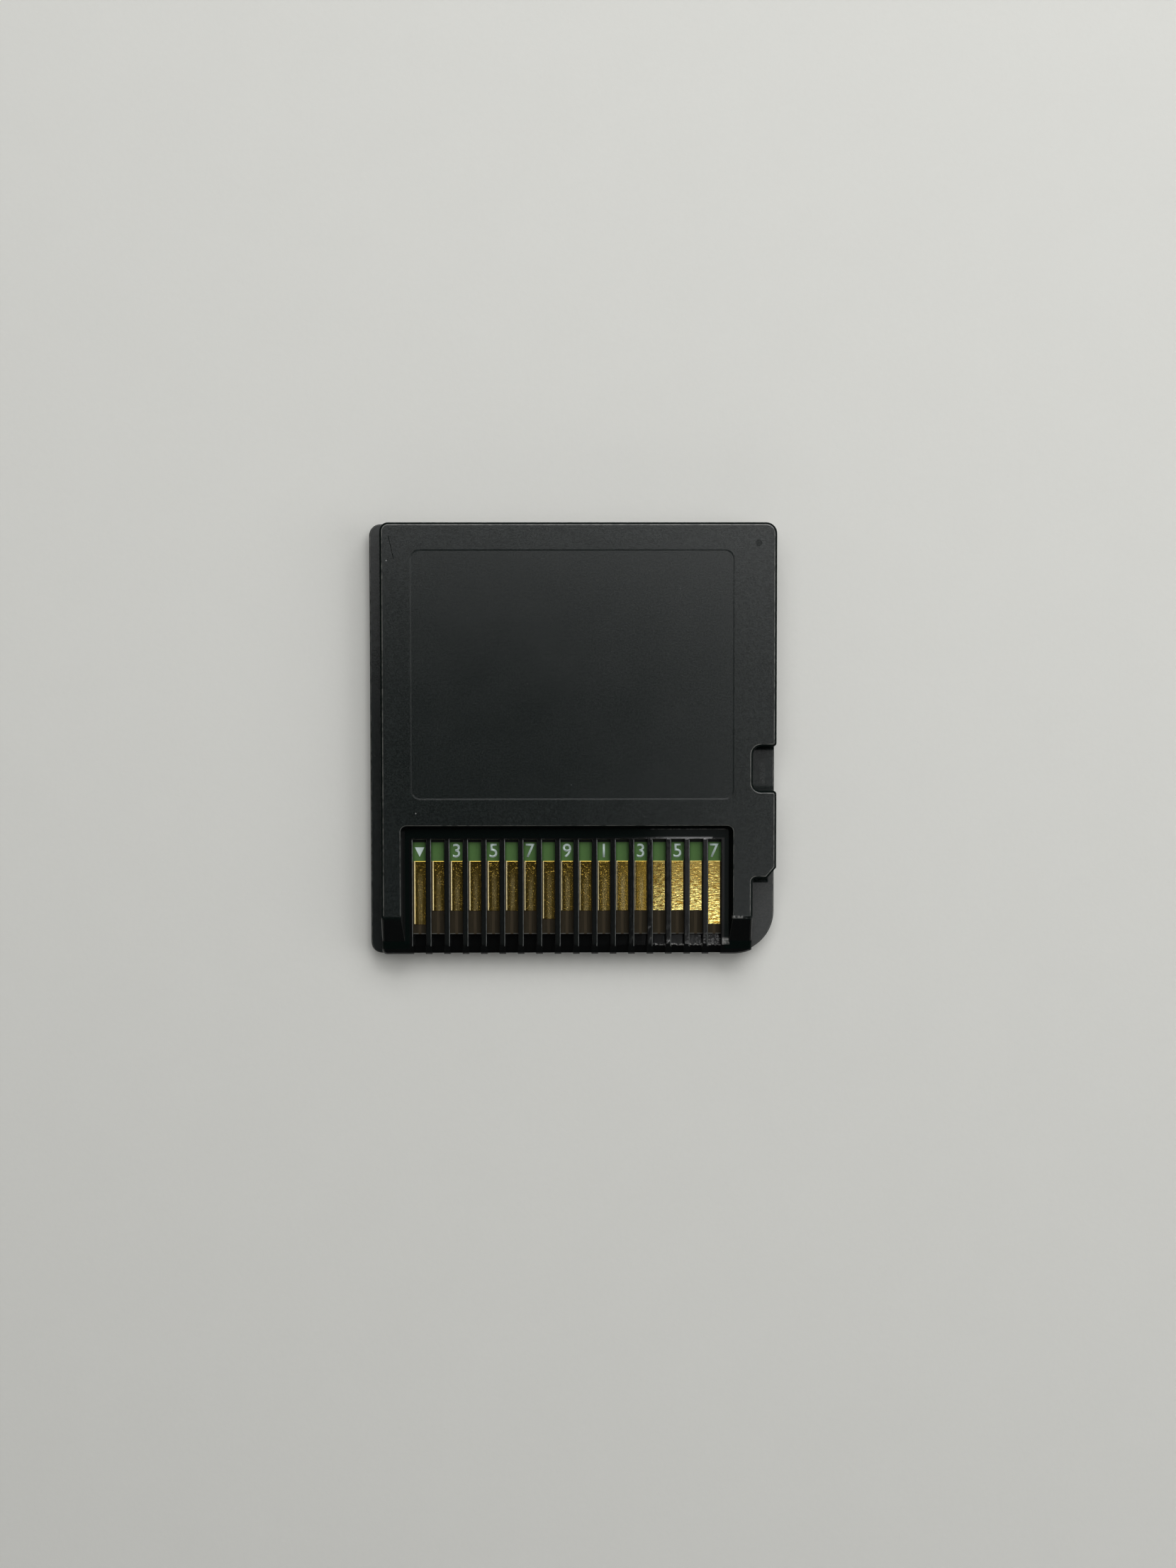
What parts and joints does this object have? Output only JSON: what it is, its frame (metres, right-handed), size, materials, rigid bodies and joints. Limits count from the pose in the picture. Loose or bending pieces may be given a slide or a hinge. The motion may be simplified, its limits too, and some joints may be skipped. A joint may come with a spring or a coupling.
{
  "type": "game cartridge",
  "caption": "Flat rectangular game card: a joined plastic shell with a guide step, a latch notch, a sloped nose and a comb window over a row of gold edge contacts.",
  "frame": {"origin": "on the label face, in the middle of the card's plan", "axes": "+Z out of the back face, which carries the contact window; +Y along the card to the thumb edge; +X to the latch notch"},
  "size_m": [0.033, 0.035, 0.0038],
  "materials": {
    "shell_plastic": "fine matt moulded texture, glossy in the contact window",
    "board_laminate": "green solder mask over laminate, bare at the contacts",
    "contact_gold": "gold plating with wipe marks",
    "chip_resin": "matt moulding resin",
    "tinned_lead": "tin plating",
    "capacitor_body": "sintered body"
  },
  "bodies": {
    "root": {"back_shell": "shell_plastic", "front_shell": "shell_plastic", "circuit_board": "board_laminate", "contact_pads": "contact_gold", "rom_chip": "chip_resin", "rom_chip_leads": "tinned_lead", "save_chip": "chip_resin", "save_chip_leads": "tinned_lead", "capacitors": "capacitor_body", "capacitor_terminals": "tinned_lead"}
  },
  "joints": []
}
